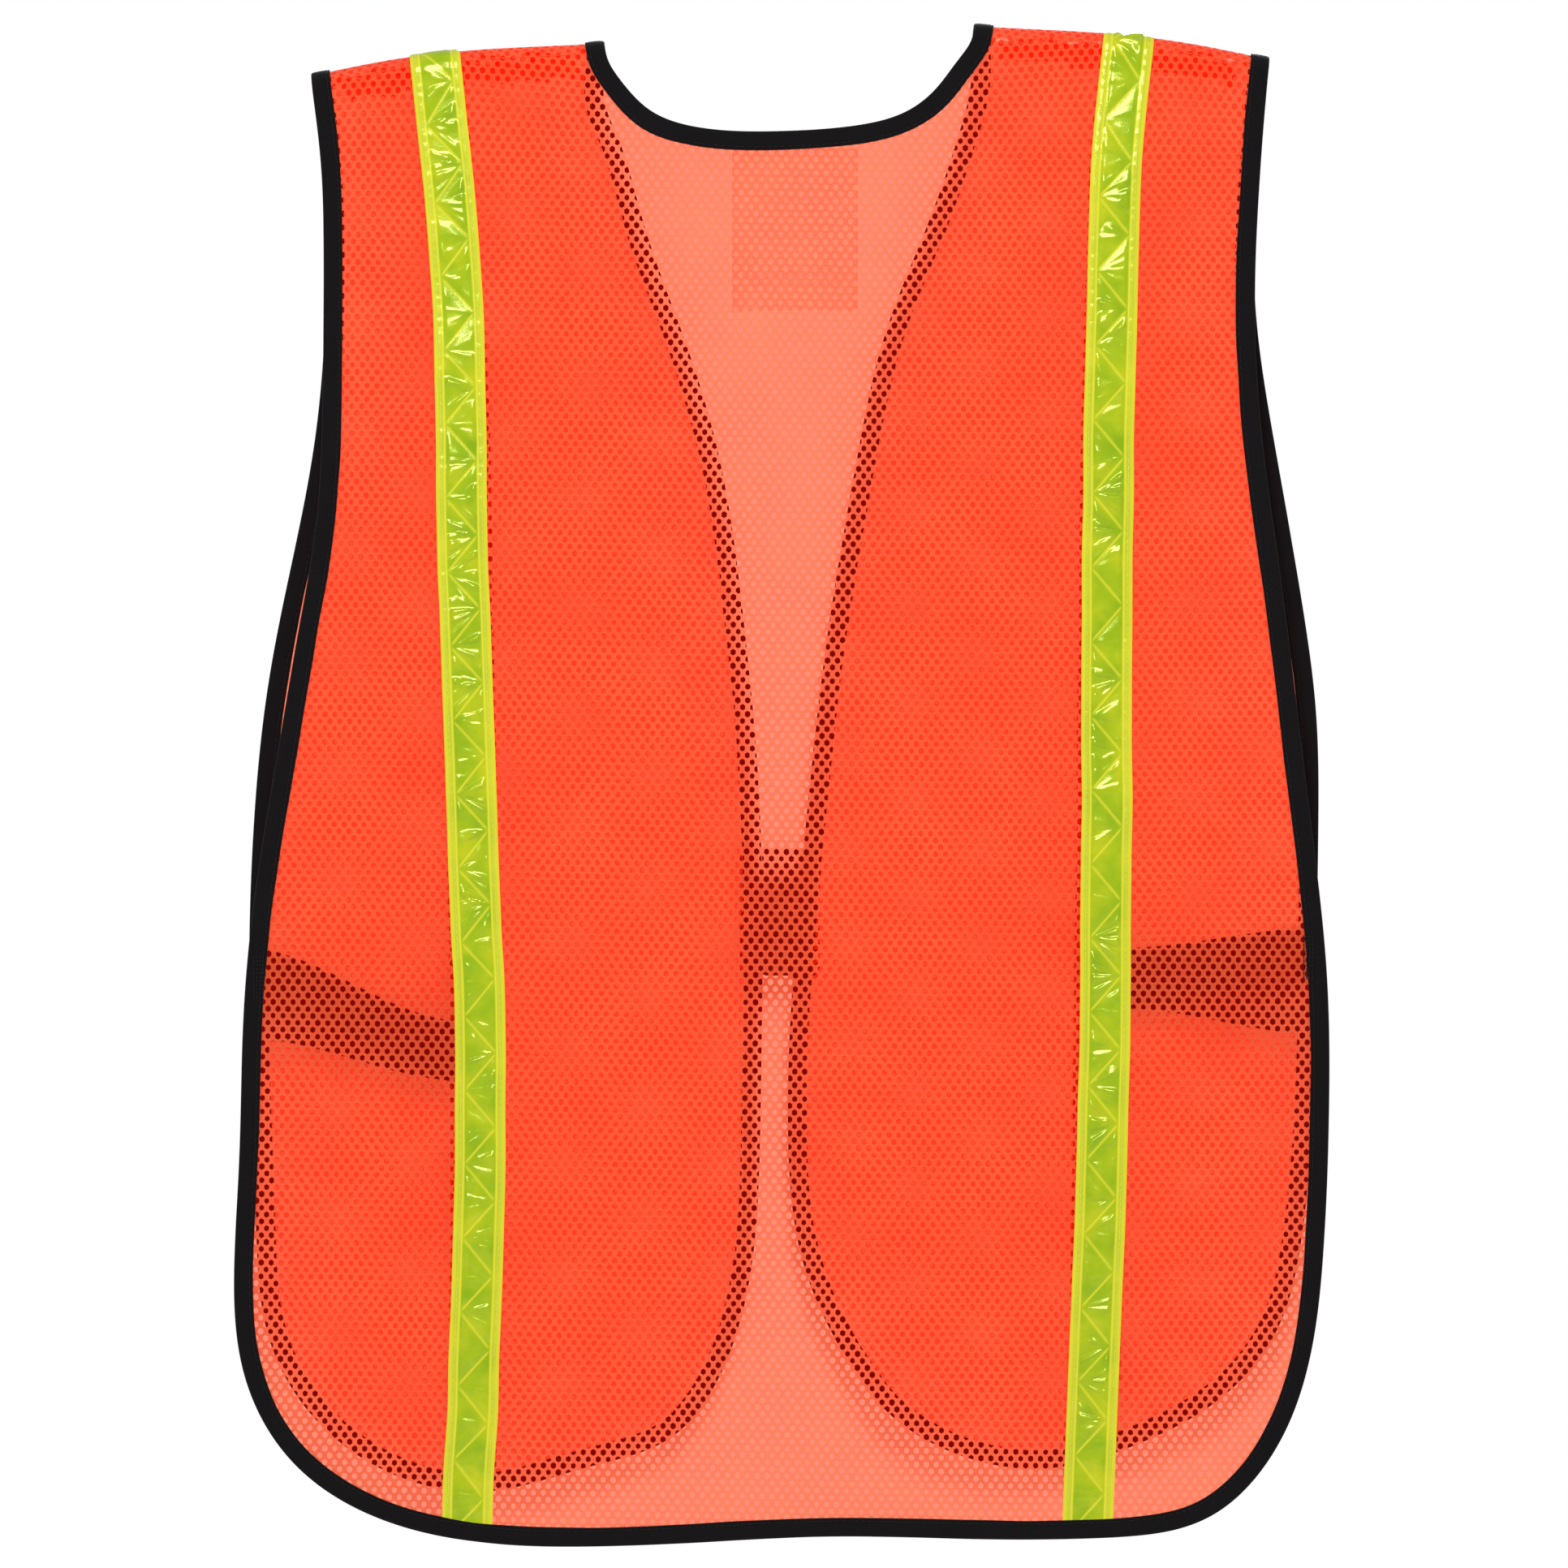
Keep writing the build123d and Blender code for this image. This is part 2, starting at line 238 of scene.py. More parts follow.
def read_back():
    """Outer run and neck run of the back's finished edge, and the shoulder axes."""
    loop = plane_loops("back_panel", BACK_Y + HALF_MESH)[0]
    first, second = cut_at_longest(loop, 2)
    outer, neck = (first, second) if len(first) > len(second) else (second, first)
    if outer[0][0] < 0:
        outer = outer[::-1]
    if neck[0][0] > 0:
        neck = neck[::-1]
    axes = {}
    for side, neck_end, tip_end in (("left", neck[-1], outer[0]),
                                    ("right", neck[0], outer[-1])):
        along = (tip_end - neck_end) / np.linalg.norm(tip_end - neck_end)
        up = np.array([-along[1], along[0]]) * SIGN[side]
        axes[side] = {"neck": neck_end - along * EDGE_SEAT, "along": along, "up": up,
                      "length": np.array([np.linalg.norm(tip_end - neck_end)])}
    return outer, neck, axes


BACK_OUTER, BACK_NECK, AXES = read_back()


def starting_near(run, point):
    """The run, turned round where its far end is the nearer one to a point."""
    first, last = (np.linalg.norm(end - point) for end in (run[0], run[-1]))
    return run[::-1] if first > last else run


def read_front(side):
    """The front's outline from the neck round to the arm end, over its fold line."""
    fixed, flap = (plane_loops(f"{side}_{part}_panel", -BACK_Y - HALF_MESH)[0]
                   for part in ("shoulder", "front"))
    flap_run = cut_at_longest(flap, 1)[0]
    first, second = cut_at_longest(fixed, 2)
    neck_end = AXES[side]["neck"]
    near = [np.linalg.norm(run - neck_end, axis=1).min() for run in (first, second)]
    neck_run, side_run = (first, second) if near[0] < near[1] else (second, first)
    neck_run = starting_near(neck_run, neck_end)
    flap_run = starting_near(flap_run, neck_run[-1])
    side_run = starting_near(side_run, flap_run[-1])
    fold_line = (neck_run[-1], side_run[0])
    return np.vstack([neck_run, flap_run, side_run]), fold_line


def relaxed(line, passes):
    """A line with its small corners rounded off, its two ends kept."""
    line = line.copy()
    for _ in range(passes):
        line[1:-1] = line[1:-1] / 2 + (line[:-2] + line[2:]) / 4
    return line


def finished_edge(run, inward_sign, ups, ring_share, bulge=0.0):
    """The finished edge, outside the CAD panel's edge, run on over both its shoulders.

    ups are the upward directions at its two ends, and ring_share is how much of the
    half ring over a shoulder it covers.
    """
    smooth = smooth_run(run, EDGE_STEP)
    out = run_normals(smooth) * inward_sign
    at_side = bell(smooth[:, 1] - RIBS_Z, RIBS_REACH) * (np.abs(smooth[:, 0]) > SIDE_X)
    edge = smooth - out * (EDGE_SEAT + bulge * at_side)[:, None]
    length = math.pi * FOLD_R * ring_share
    rise = np.linspace(0, length, int(length / EDGE_STEP) + 1)[1:, None]
    before = (edge[0] + rise * ups[0])[::-1]
    after = edge[-1] + rise * ups[1]
    return relaxed(np.vstack([before, edge, after]), EDGE_PASSES)


# ---- how a layer hangs ----
def bell(distance, width):
    """1 at no distance, falling to 0 over a few widths."""
    return np.exp(-(distance / width) ** 2)


def smoothstep(t):
    """0 below 0 and 1 above 1, with an even curve between."""
    t = np.clip(t, 0, 1)
    return t * t * (3 - 2 * t)


def soft_noise(x, z, cell, seed):
    """Smooth random values from -1 to 1 over flat points."""
    table = np.random.default_rng(seed).uniform(-1, 1, (256, 256))
    fx = x / cell + 100.0
    fz = z / cell + 100.0
    ix, iz = np.floor(fx).astype(int), np.floor(fz).astype(int)
    tx, tz = smoothstep(fx - ix), smoothstep(fz - iz)

    def at(i, k):
        return table[i % 256, k % 256]
    low = at(ix, iz) * (1 - tx) + at(ix + 1, iz) * tx
    high = at(ix, iz + 1) * (1 - tx) + at(ix + 1, iz + 1) * tx
    return low * (1 - tz) + high * tz


def hang(sign, x, z):
    """How far a layer swells outwards from its plane, before its shoulders damp it."""
    phase, crease_x, seed = (0.7, 0.062, 11) if sign > 0 else (2.4, 0.085, 12)
    lower = smoothstep((-z - 0.05) / 0.45)
    flutes = np.sin(2 * math.pi * (x / FLUTE_PITCH + 0.35 * z / 0.4) + phase)
    swell = soft_noise(x, z * 0.6, 0.085, seed)
    fine = soft_noise(x, z, 0.033, seed + 10)
    crease = bell(x + 0.12 * z - crease_x, CREASE_HALF_W) * lower
    return MM * (1.3 + 1.8 * flutes * lower + 2.1 * swell + 0.5 * fine - 1.3 * crease)


def by_side(x, key):
    """Each point's own shoulder's value of an axis entry."""
    return np.where(x[:, None] > 0, AXES["left"][key], AXES["right"][key])


def layer_height(sign, x, z):
    """Swell of a layer at flat points, and how far they are above the shoulder axis."""
    from_neck = pairs(x, z) - by_side(x, "neck")
    above = (from_neck * by_side(x, "up")).sum(axis=1)
    return hang(sign, x, z) * smoothstep(-above / 0.07), above


def arch(x, z, above):
    """The shoulders' tops rise a little between the neck and the arm."""
    from_neck = pairs(x, z) - by_side(x, "neck")
    share = (from_neck * by_side(x, "along")).sum(axis=1) / by_side(x, "length")[:, 0]
    rise = SHOULDER_ARCH * np.sin(math.pi * np.clip(share, 0, 1) ** 1.25)
    return (rise + 0.8 * MM) * smoothstep((above + 0.05) / 0.05)


def place(sign, flat, lift=0.0):
    """Flat points laid on the back (+1) or a front (-1), raised along its outer side."""
    x, z = flat[:, 0], flat[:, 1]
    w, above = layer_height(sign, x, z)
    tiny = 1.0 * MM
    dx = (layer_height(sign, x + tiny, z)[0] - w) / tiny
    dz = (layer_height(sign, x, z + tiny)[0] - w) / tiny
    normal = np.stack([-dx, np.full_like(x, sign), -dz], axis=1)
    normal /= np.linalg.norm(normal, axis=1)[:, None]
    out = np.stack([x, sign * (BACK_Y + w), z], axis=1)
    over = above > 0
    up = by_side(x, "up")
    if over.any():
        angle = above / FOLD_R
        foot = flat - above[:, None] * up
        sin, cos = np.sin(angle), sign * np.cos(angle)
        ring = foot + up * (FOLD_R * sin)[:, None]
        out[over] = np.stack([ring[:, 0], FOLD_R * cos, ring[:, 1]], axis=1)[over]
        normal[over] = np.stack([up[:, 0] * sin, cos, up[:, 1] * sin], axis=1)[over]
    raised = arch(x, z, np.minimum(above, 0))
    out[:, 0] += up[:, 0] * raised
    out[:, 2] += up[:, 1] * raised
    return out + normal * np.broadcast_to(lift, x.shape)[:, None]


# ---- making meshes ----
def new_mesh(name, points, faces, **attributes):
    """A mesh object from points and faces, with numbers or flat points as attributes."""
    mesh = bpy.data.meshes.new(name)
    mesh.from_pydata(points.tolist(), [], faces)
    for key, values in attributes.items():
        values = np.asarray(values, np.float32)
        kind = "FLOAT" if values.ndim == 1 else "FLOAT_VECTOR"
        if values.ndim == 2:
            values = np.pad(values, ((0, 0), (0, 1)))
        layer = mesh.attributes.new(key, kind, "POINT")
        layer.data.foreach_set("value" if kind == "FLOAT" else "vector", values.ravel())
    mesh.shade_smooth()
    mesh.update()
    obj = bpy.data.objects.new(name, mesh)
    bpy.context.scene.collection.objects.link(obj)
    return obj


def grid_faces(rows, cols, close_cols=False, start=0):
    """Quads over a grid of points, whose last column may join the first."""
    rr, cc = np.meshgrid(np.arange(rows - 1), np.arange(cols if close_cols else cols - 1),
                         indexing="ij")
    nr, nc = rr + 1, (cc + 1) % cols
    quad = np.stack([rr * cols + cc, rr * cols + nc, nr * cols + nc, nr * cols + cc], -1)
    return (quad.reshape(-1, 4) + start).tolist()


# ---- mesh cloth with real holes ----
def knit_sheet(name, sign, outline, grain_deg, seed, lift=0.0, margin=MESH_MARGIN,
               hole_size=1.0):
    """Cloth with six-sided holes in offset rows, cut to an outline of flat points.

    Returns the knit and the veil of hair-fine fibres that crosses its holes, whose tint is
    painted shade and bounce light.
    """
    rng = np.random.default_rng(seed)
    centre = (outline.min(axis=0) + outline.max(axis=0)) / 2
    reach = np.linalg.norm(outline.max(axis=0) - outline.min(axis=0)) / 2
    rows = int(reach / ROW_PITCH) + 2
    cols = int(reach / HOLE_PITCH) + 2
    row, col = np.meshgrid(np.arange(-rows, rows + 1), np.arange(-cols, cols + 1),
                           indexing="ij")
    local = np.stack([(col + 0.5 * (row % 2)) * HOLE_PITCH, row * ROW_PITCH], axis=-1)
    local[..., 1] += 1.6 * MM * np.sin(local[..., 0] / 0.16 + seed)   # bowed rows
    turn = math.radians(grain_deg)
    spin = np.array([[math.cos(turn), math.sin(turn)], [-math.sin(turn), math.cos(turn)]])
    sites = (local @ spin + centre).reshape(-1, 2)
    near = inside(sites, outline)
    index = np.flatnonzero(near)
    near[index] = edge_distance(sites[index], outline) > margin
    shape = (2 * rows + 1, 2 * cols + 1)
    number = np.full(shape, -1)
    used = near.reshape(shape)
    number[used] = np.arange(used.sum())
    hole = np.array([
        (0, HOLE_HALF_H), (HOLE_HALF_W, HOLE_SIDE), (HOLE_HALF_W, -HOLE_SIDE),
        (0, -HOLE_HALF_H), (-HOLE_HALF_W, -HOLE_SIDE), (-HOLE_HALF_W, HOLE_SIDE),
    ]) @ spin
    chosen = sites.reshape(*shape, 2)[used]
    size = hole_size * (1 + rng.uniform(-0.09, 0.09, (len(chosen), 1, 1)))
    points = chosen[:, None, :] + hole[None] * size
    points += rng.normal(0, 0.035 * MM, points.shape)
    flat = points.reshape(-1, 2)

    odd = (np.arange(shape[0]) - rows) % 2

    def neighbour(up, across):
        """Number of each hole's neighbour, some rows up and some half pitches across."""
        out = np.full(shape, -1)
        for row in range(shape[0] - up):
            shift = across // 2 if up == 0 else odd[row] + (across - 1) // 2
            target = np.arange(shape[1]) + shift
            fine = (target >= 0) & (target < shape[1])
            out[row, fine] = number[row + up, target[fine]]
        return out
    east, north_east, north_west = neighbour(0, 2), neighbour(1, 1), neighbour(1, -1)
    faces = []

    def add(*corners):
        """Yarn between corners of holes, wherever all of these holes are there."""
        there = np.all([number >= 0] + [site >= 0 for site, _ in corners], axis=0)
        base = [site[there] * len(hole) + corner for site, corner in corners]
        faces.extend(np.stack(base, axis=1).tolist())
    add((number, 2), (number, 1), (east, 5), (east, 4))
    add((number, 1), (number, 0), (north_east, 4), (north_east, 3))
    add((number, 0), (number, 5), (north_west, 3), (north_west, 2))
    add((number, 1), (north_east, 3), (east, 5))
    add((number, 0), (north_west, 2), (north_east, 4))
    relief = lift + rng.normal(0, 0.03 * MM, len(flat))
    veil = np.arange(len(flat)).reshape(-1, len(hole))[:, ::-1].tolist()
    if sign > 0:
        faces = [face[::-1] for face in faces]
        veil = [face[::-1] for face in veil]
    points = place(sign, flat, relief)
    sheet = dress(new_mesh(name, points, faces, flat=flat), "mesh_orange")
    # The veil over the holes carries painted shade and bounce light in its tint.
    over_holes = new_mesh(f"{name}_filaments", points, veil, flat=flat)
    return sheet, dress(over_holes, "mesh_orange", "painted_shade_veil")


# ---- folded edge binding, with its stitches ----
# One face of a binding's section: how far in from the finished edge, and the height.
FACE = ((9.40, 0.50), (9.15, 0.78), (7.9, 0.72), (7.2, 0.95), (4.6, 1.10), (2.2, 1.12),
        (0.8, 0.92), (0.15, 0.48))
BINDING_SECTION = MM * np.array([*FACE, (0, 0), *((far, -high) for far, high in FACE[::-1]),
                                 (9.2, 0)])


def binding(name, sign, edge, inward_sign, seed):
    """Folded tape swept along a finished edge of flat points."""
    normal = run_normals(edge) * inward_sign
    count = len(edge)
    cols = len(BINDING_SECTION)
    run = run_length(edge)
    pucker = 1 + 0.10 * np.sin(run / (5.5 * MM) + 2 * np.sin(run / 0.047))
    inner_wave = 0.22 * MM * soft_noise(run, run * 0, 0.021, seed)
    rings = []
    for reach, lift in BINDING_SECTION:
        flat = edge + normal * (reach + inner_wave * (reach > 5 * MM))[:, None]
        rings.append(place(sign, flat, lift * pucker))
    points = np.stack(rings, axis=1).reshape(-1, 3)
    faces = grid_faces(count, cols, close_cols=True)
    faces += [list(range(cols))[::-1], list(range((count - 1) * cols, count * cols))]
    flat = pairs(np.repeat(run, cols), np.tile(BINDING_SECTION[:, 0], count))
    return dress(new_mesh(name, points, faces, flat=flat), "binding_black")


def stitch_row(sign, line, lift, pitch=STITCH_PITCH, radius=0.23 * MM):
    """Points and faces of a row of short thread stitches along a line of flat points."""
    run = run_length(line)
    starts = np.arange(pitch * 0.3, run[-1] - pitch, pitch)
    # Five rings make a stitch: where each is along it, its height and its half width.
    share = np.array([0.0, 0.18, 0.5, 0.82, 1.0])
    rise = np.array([-0.35, 0.45, 0.85, 0.45, -0.35]) * radius
    wide = np.array([0.55, 0.95, 1.0, 0.95, 0.55]) * radius
    at = (starts[:, None] + share * pitch * STITCH_SHARE).ravel()

    def line_at(where):
        return pairs(*(np.interp(where, run, line[:, axis]) for axis in (0, 1)))
    flat = line_at(at)
    ahead = line_at(at + 0.1 * MM) - flat
    side = pairs(ahead[:, 1], -ahead[:, 0])
    side /= np.maximum(np.linalg.norm(side, axis=1), 1e-9)[:, None]
    rise, wide = np.tile(rise, len(starts)), np.tile(wide, len(starts))
    outward = 1.0 if lift > 0 else -1.0
    rings, corners = len(share), 5
    lines = [place(sign, flat + side * (wide * math.cos(turn))[:, None],
                   lift + outward * (rise + wide * math.sin(turn)))
             for turn in np.arange(corners) * 2 * math.pi / corners]
    faces = []
    for base in range(0, len(starts) * rings * corners, rings * corners):
        faces += grid_faces(rings, corners, close_cols=True, start=base)
        last = base + (rings - 1) * corners
        faces += [list(range(base, base + corners))[::-1], list(range(last, last + corners))]
    return np.stack(lines, axis=1).reshape(-1, 3), faces


def thread(name, rows, slot="thread_black", material=None):
    """One mesh of all the given stitch rows."""
    points, faces, base = [], [], 0
    for row_points, row_faces in rows:
        points.append(row_points)
        faces += [[i + base for i in face] for face in row_faces]
        base += len(row_points)
    return dress(new_mesh(name, np.vstack(points), faces), slot, material)


def inset(edge, inward_sign, distance):
    """A run of flat points moved sideways."""
    return edge + run_normals(edge) * inward_sign * distance


def binding_thread(name, sign, edges, inward_sign):
    """The stitches on both faces of the binding along some finished edges."""
    return thread(name, [stitch_row(sign, inset(edge, inward_sign, STITCH_INSET), lift)
                         for edge in edges for lift in (BINDING_FACE, -BINDING_FACE)])


# ---- reflective tape ----
def crossing_span(loops, level):
    """Least and greatest x at which loops of flat points cross a height."""
    found = []
    for loop in loops:
        (x, z), (x2, z2) = loop.T, np.roll(loop, -1, axis=0).T
        hit = (z > level) != (z2 > level)
        share = (level - z[hit]) / (z2[hit] - z[hit])
        found += list(x[hit] + (x2[hit] - x[hit]) * share)
    return min(found), max(found)


def hem_slope_at(run, x):
    """Rise of the lowest edge of a run of flat points per distance along X, near x."""
    reach = 9 * MM
    low, high = (crossing_span([run[:, ::-1]], at)[0] for at in (x - reach, x + reach))
    return (high - low) / (2 * reach)


def tape_line(nodes, y, side):
    """A tape's centreline, from under the hem binding up to the shoulder axis."""
    loops = [plane_loops(node, y)[0] for node in nodes]
    levels = np.vstack(loops)[:, 1]
    want = np.arange(levels.min() + 6 * MM, TAPE_TOP_Z, 24 * MM)
    middle = [(sum(crossing_span(loops, level)) / 2, level) for level in want]
    low, second = np.array(middle[0]), np.array(middle[1])
    end = low + (low - second) * (11 * MM) / np.linalg.norm(low - second)
    axis = AXES[side]
    last = np.array(middle[-1])
    foot = last - ((last - axis["neck"]) @ axis["up"]) * axis["up"]
    return smooth_run(np.vstack([end, middle, foot]), TAPE_STEP)


def film_relief(along, across, seed):
    """Height of the puffed film, and how welded each point is, 0 to 1.

    Zigzag welds part the film's middle into triangles, and leaf-shaped wrinkles fan out
    from each triangle's apex.
    """
    half = CELL_HALF_W
    phase = (along / CELL_PITCH) % 1
    weld_at = half * (4 * np.abs(phase - 0.5) - 1)
    to_weld = np.abs(across - weld_at) * WELD_COS
    inner = smoothstep((half - np.abs(across)) / (1.9 * MM))
    puff = (1 - bell(to_weld, 2.6 * MM)) * inner
    upper = across > weld_at
    cell = np.where(upper, np.floor(along / CELL_PITCH), np.round(along / CELL_PITCH))
    apex_s = np.where(upper, cell + 0.5, cell) * CELL_PITCH
    apex_t = np.where(upper, -half, half)
    draws = 1024
    draw = np.random.default_rng(seed).uniform(0, 1, (2, draws))
    pick = draw[upper.astype(int), cell.astype(int) % draws]
    reach = np.hypot(along - apex_s, across - apex_t)
    angle = np.arctan2(along - apex_s, np.abs(across - apex_t))
    fan = soft_noise(angle * (4.0 + 3.5 * pick) + 90 * pick, reach / (9 * MM) + 30 * pick,
                     1.0, seed + 1)
    leaf = np.clip(fan * 1.7, -0.5, 1) * smoothstep((reach - 1.5 * MM) / (4 * MM))
    bunched = smoothstep(0.72 + 1.3 * soft_noise(along, across, 26 * MM, seed + 2))
    height = MM * puff * (0.22 + 0.3 * pick + (0.14 + 0.62 * bunched) * leaf)
    side = np.abs(across) - half
    strip = np.sin(math.pi * np.clip(side / (3.7 * MM), 0, 1))
    gather = 0.6 + 0.5 * soft_noise(along, across * 0.3, 2.2 * MM, seed + 3)
    height += 0.24 * MM * strip * gather
    line = bell(to_weld, WELD_W) * inner
    rails = sum(bell(side - out, width) for out, width in RAILS)
    welded = np.clip(np.maximum(line, rails) + 0.45 * (side > 0.2 * MM), 0, 1)
    return height, welded


def film_strip(name, sign, line, right, start_run, seed, hem_at_start, hem_slope):
    """Film over a centreline of flat points; right is +1 if +X is on its right.

    hem_slope is the hem's rise per distance across, which the film's end follows.
    """
    run = run_length(line)
    side = run_normals(line) * right
    across = np.linspace(-TAPE_W / 2, TAPE_W / 2, TAPE_COLS)
    tt, ss = np.meshgrid(across, run)
    wobble = 0.35 * MM * soft_noise(run + start_run, run * 0, 30 * MM, seed + 9)
    flat = (line[:, None, :] + side[:, None, :] * (tt + wobble[:, None])[..., None])
    flat = flat.reshape(-1, 2)
    to_hem = ss.ravel() if hem_at_start else run[-1] - ss.ravel()
    sideways = (flat - line.repeat(TAPE_COLS, axis=0))[:, 0]
    flat[:, 1] += hem_slope * sideways * (1 - smoothstep(to_hem / (30 * MM)))
    t, s = tt.ravel(), ss.ravel() + start_run
    height, welded = film_relief(s, t, seed)
    tucked = smoothstep((to_hem - 8 * MM) / (6 * MM))
    rim = smoothstep((TAPE_W / 2 - np.abs(t)) / (1.3 * MM))
    lift = 0.5 * MM + tucked * (0.25 * MM + height) * rim
    edge = smoothstep((np.abs(t) - 11.9 * MM) / (0.5 * MM))
    faces = grid_faces(len(line), len(across))
    if sign * right > 0:
        faces = [face[::-1] for face in faces]
    strip = new_mesh(name, place(sign, flat, lift), faces, weld=welded, edge=edge,
                     flat=pairs(s, t))
    return dress(strip, "tape_lime"), run[-1]


# ---- thick pieces ----
def slab(name, middle, thickness, along, across):
    """A thin closed piece round a grid of middle points, with rounded-off edges."""
    rows, cols = middle.shape[:2]
    by_row = np.gradient(middle, axis=0)
    by_col = np.gradient(middle, axis=1)
    normal = np.cross(by_row, by_col)
    normal /= np.linalg.norm(normal, axis=2)[..., None]
    half = np.full((rows, cols), thickness / 2)
    for edge in (half[0], half[-1], half[:, 0], half[:, -1]):
        edge *= 0.45
    half = np.broadcast_to(half[..., None], middle.shape)
    points = np.vstack([(middle + normal * half).reshape(-1, 3),
                        (middle - normal * half).reshape(-1, 3)])
    count = rows * cols
    faces = grid_faces(rows, cols)
    faces += [[i + count for i in face][::-1] for face in faces]
    index = np.arange(count).reshape(rows, cols)
    rim = np.concatenate([index[0, :-1], index[:-1, -1], index[-1, :0:-1], index[:0:-1, 0]])
    for a, b in zip(rim, np.roll(rim, -1)):
        faces.append([int(b), int(a), int(a + count), int(b + count)])
    flat = pairs(along, across)
    return new_mesh(name, points, faces, flat=np.vstack([flat, flat]))


def pad_on(name, sign, x_span, z_span, lift, thickness):
    """A rectangle of hook or loop tape lying on a layer, with rounded corners."""
    step = 0.9 * MM
    corner = 1.6 * MM
    xs, zs = (np.linspace(*span, max(6, int(abs(span[1] - span[0]) / step)))
              for span in (x_span, z_span))
    xx, zz = np.meshgrid(xs, zs)
    flat = pairs(xx, zz)
    middle = place(sign, flat, lift).reshape(*xx.shape, 3)
    dx, dz = (np.minimum(np.abs(at - span[0]), np.abs(at - span[1]))
              for at, span in ((xx, x_span), (zz, z_span)))
    near = np.clip((corner - dx) / corner, 0, 1) * np.clip((corner - dz) / corner, 0, 1)
    pull = 0.35 * corner * near
    middle[..., 0] += np.sign(np.mean(x_span) - xx) * pull
    middle[..., 2] += np.sign(np.mean(z_span) - zz) * pull
    return dress(slab(name, middle, thickness, xx, zz), "hook_loop_black")


def side_strap_grid(side):
    """Middle surface of a folded side strap: rows along it, columns down its width."""
    edge_x, fold_x, back_z, front_z, fold_z = STRAP[side]
    share = np.linspace(0, 1, STRAP_ROWS)
    down = np.linspace(0, STRAP_W, STRAP_COLS)
    legs = []
    for sign, top in ((1, back_z), (-1, front_z)):
        x = edge_x + (fold_x - edge_x) * share
        z = top + (fold_z - top) * smoothstep(share * 0.9 + 0.05)
        flat = pairs(np.repeat(x, STRAP_COLS), z[:, None] - down)
        sag = 1.6 * MM * np.sin(math.pi * share) * (1 if side == "left" else 0.7)
        tuck = np.repeat(-2.1 * MM - sag, STRAP_COLS)
        legs.append(place(sign, flat, tuck).reshape(STRAP_ROWS, STRAP_COLS, 3))
    first, last = legs[0][-1], legs[1][-1]
    middle = (first + last) / 2
    reach = (first - last) / 2
    radius = np.linalg.norm(reach, axis=1)
    bend = []
    for angle in np.linspace(0, math.pi, 15)[1:-1]:
        row = middle + reach * math.cos(angle)
        row[:, 0] -= SIGN[side] * radius * math.sin(angle)
        bend.append(row)
    return np.concatenate([legs[0], np.array(bend), legs[1][::-1]])


# ---- materials ----
def srgb(red, green, blue):
    """A colour for a socket, from its 0 to 255 values."""
    def linear(v):
        v /= 255
        return v / 12.92 if v <= 0.04045 else ((v + 0.055) / 1.055) ** 2.4
    return (linear(red), linear(green), linear(blue), 1.0)


class Shader:
    """A material's node tree, with short calls for the nodes used here."""

    def __init__(self, name, **sockets):
        self.material = bpy.data.materials.new(name)
        self.material.use_nodes = True
        self.tree = self.material.node_tree
        self.bsdf = self.tree.nodes["Principled BSDF"]
        self.output = self.tree.nodes["Material Output"]
        for key, value in sockets.items():
            self.bsdf.inputs[key.replace("_", " ")].default_value = value

    def node(self, kind, vector=None, **settings):
        made = self.tree.nodes.new(kind)
        for key, value in settings.items():
            if hasattr(made, key):
                setattr(made, key, value)
            else:
                made.inputs[key.replace("_", " ")].default_value = value
        if vector is not None:
            self.feed(vector, made.inputs["Vector"])
        return made

    def feed(self, value, socket):
        """Gives a socket a constant or another node's output."""
        if isinstance(value, (int, float, tuple)):
            socket.default_value = value
        else:
            self.tree.links.new(value, socket)

    def attribute(self, name, output="Vector"):
        return self.node("ShaderNodeAttribute", attribute_name=name).outputs[output]

    def noise(self, vector, scale, detail=2.0):
        return self.node("ShaderNodeTexNoise", vector, Scale=scale,
                         Detail=detail).outputs["Fac"]

    def cells(self, vector, scale):
        return self.node("ShaderNodeTexVoronoi", vector, Scale=scale).outputs["Distance"]

    def wave(self, vector, scale, direction="X", distortion=0.0):
        return self.node("ShaderNodeTexWave", vector, wave_type="BANDS", Scale=scale,
                         bands_direction=direction, Distortion=distortion).outputs["Fac"]

    def math(self, operation, a, b):
        made = self.node("ShaderNodeMath", operation=operation)
        self.feed(a, made.inputs[0])
        self.feed(b, made.inputs[1])
        return made.outputs[0]

    def ramp(self, value, *stops):
        made = self.node("ShaderNodeValToRGB")
        elements = made.color_ramp.elements
        while len(elements) < len(stops):
            elements.new(0.5)
        for element, (position, colour) in zip(elements, stops):
            element.position = position
            element.color = colour
        self.feed(value, made.inputs["Fac"])
        return made.outputs["Color"]

    def mix(self, factor, a, b):
        made = self.node("ShaderNodeMix", data_type="RGBA")
        for value, socket in ((factor, "Factor"), (a, 6), (b, 7)):
            self.feed(value, made.inputs[socket])
        return made.outputs[2]

    def bump(self, height, strength, distance):
        made = self.node("ShaderNodeBump", Strength=strength, Distance=distance)
        self.feed(height, made.inputs["Height"])
        self.feed(made.outputs["Normal"], self.bsdf.inputs["Normal"])
        return made.outputs["Normal"]

    def colour(self, source):
        self.feed(source, self.bsdf.inputs["Base Color"])

    def surface(self, share, first, second):
        """Puts out two shaders mixed, by the second one's share."""
        both = self.node("ShaderNodeMixShader")
        for value, socket in zip((share, first.outputs[0], second.outputs[0]), both.inputs):
            self.feed(value, socket)
        self.feed(both.outputs[0], self.output.inputs["Surface"])
        return self.material

    def lit_through(self, share, colour, normal):
        """Lets light through a share of the surface."""
        through = self.node("ShaderNodeBsdfTranslucent", Color=colour)
        self.feed(normal, through.inputs["Normal"])
        return self.surface(share, self.bsdf, through)


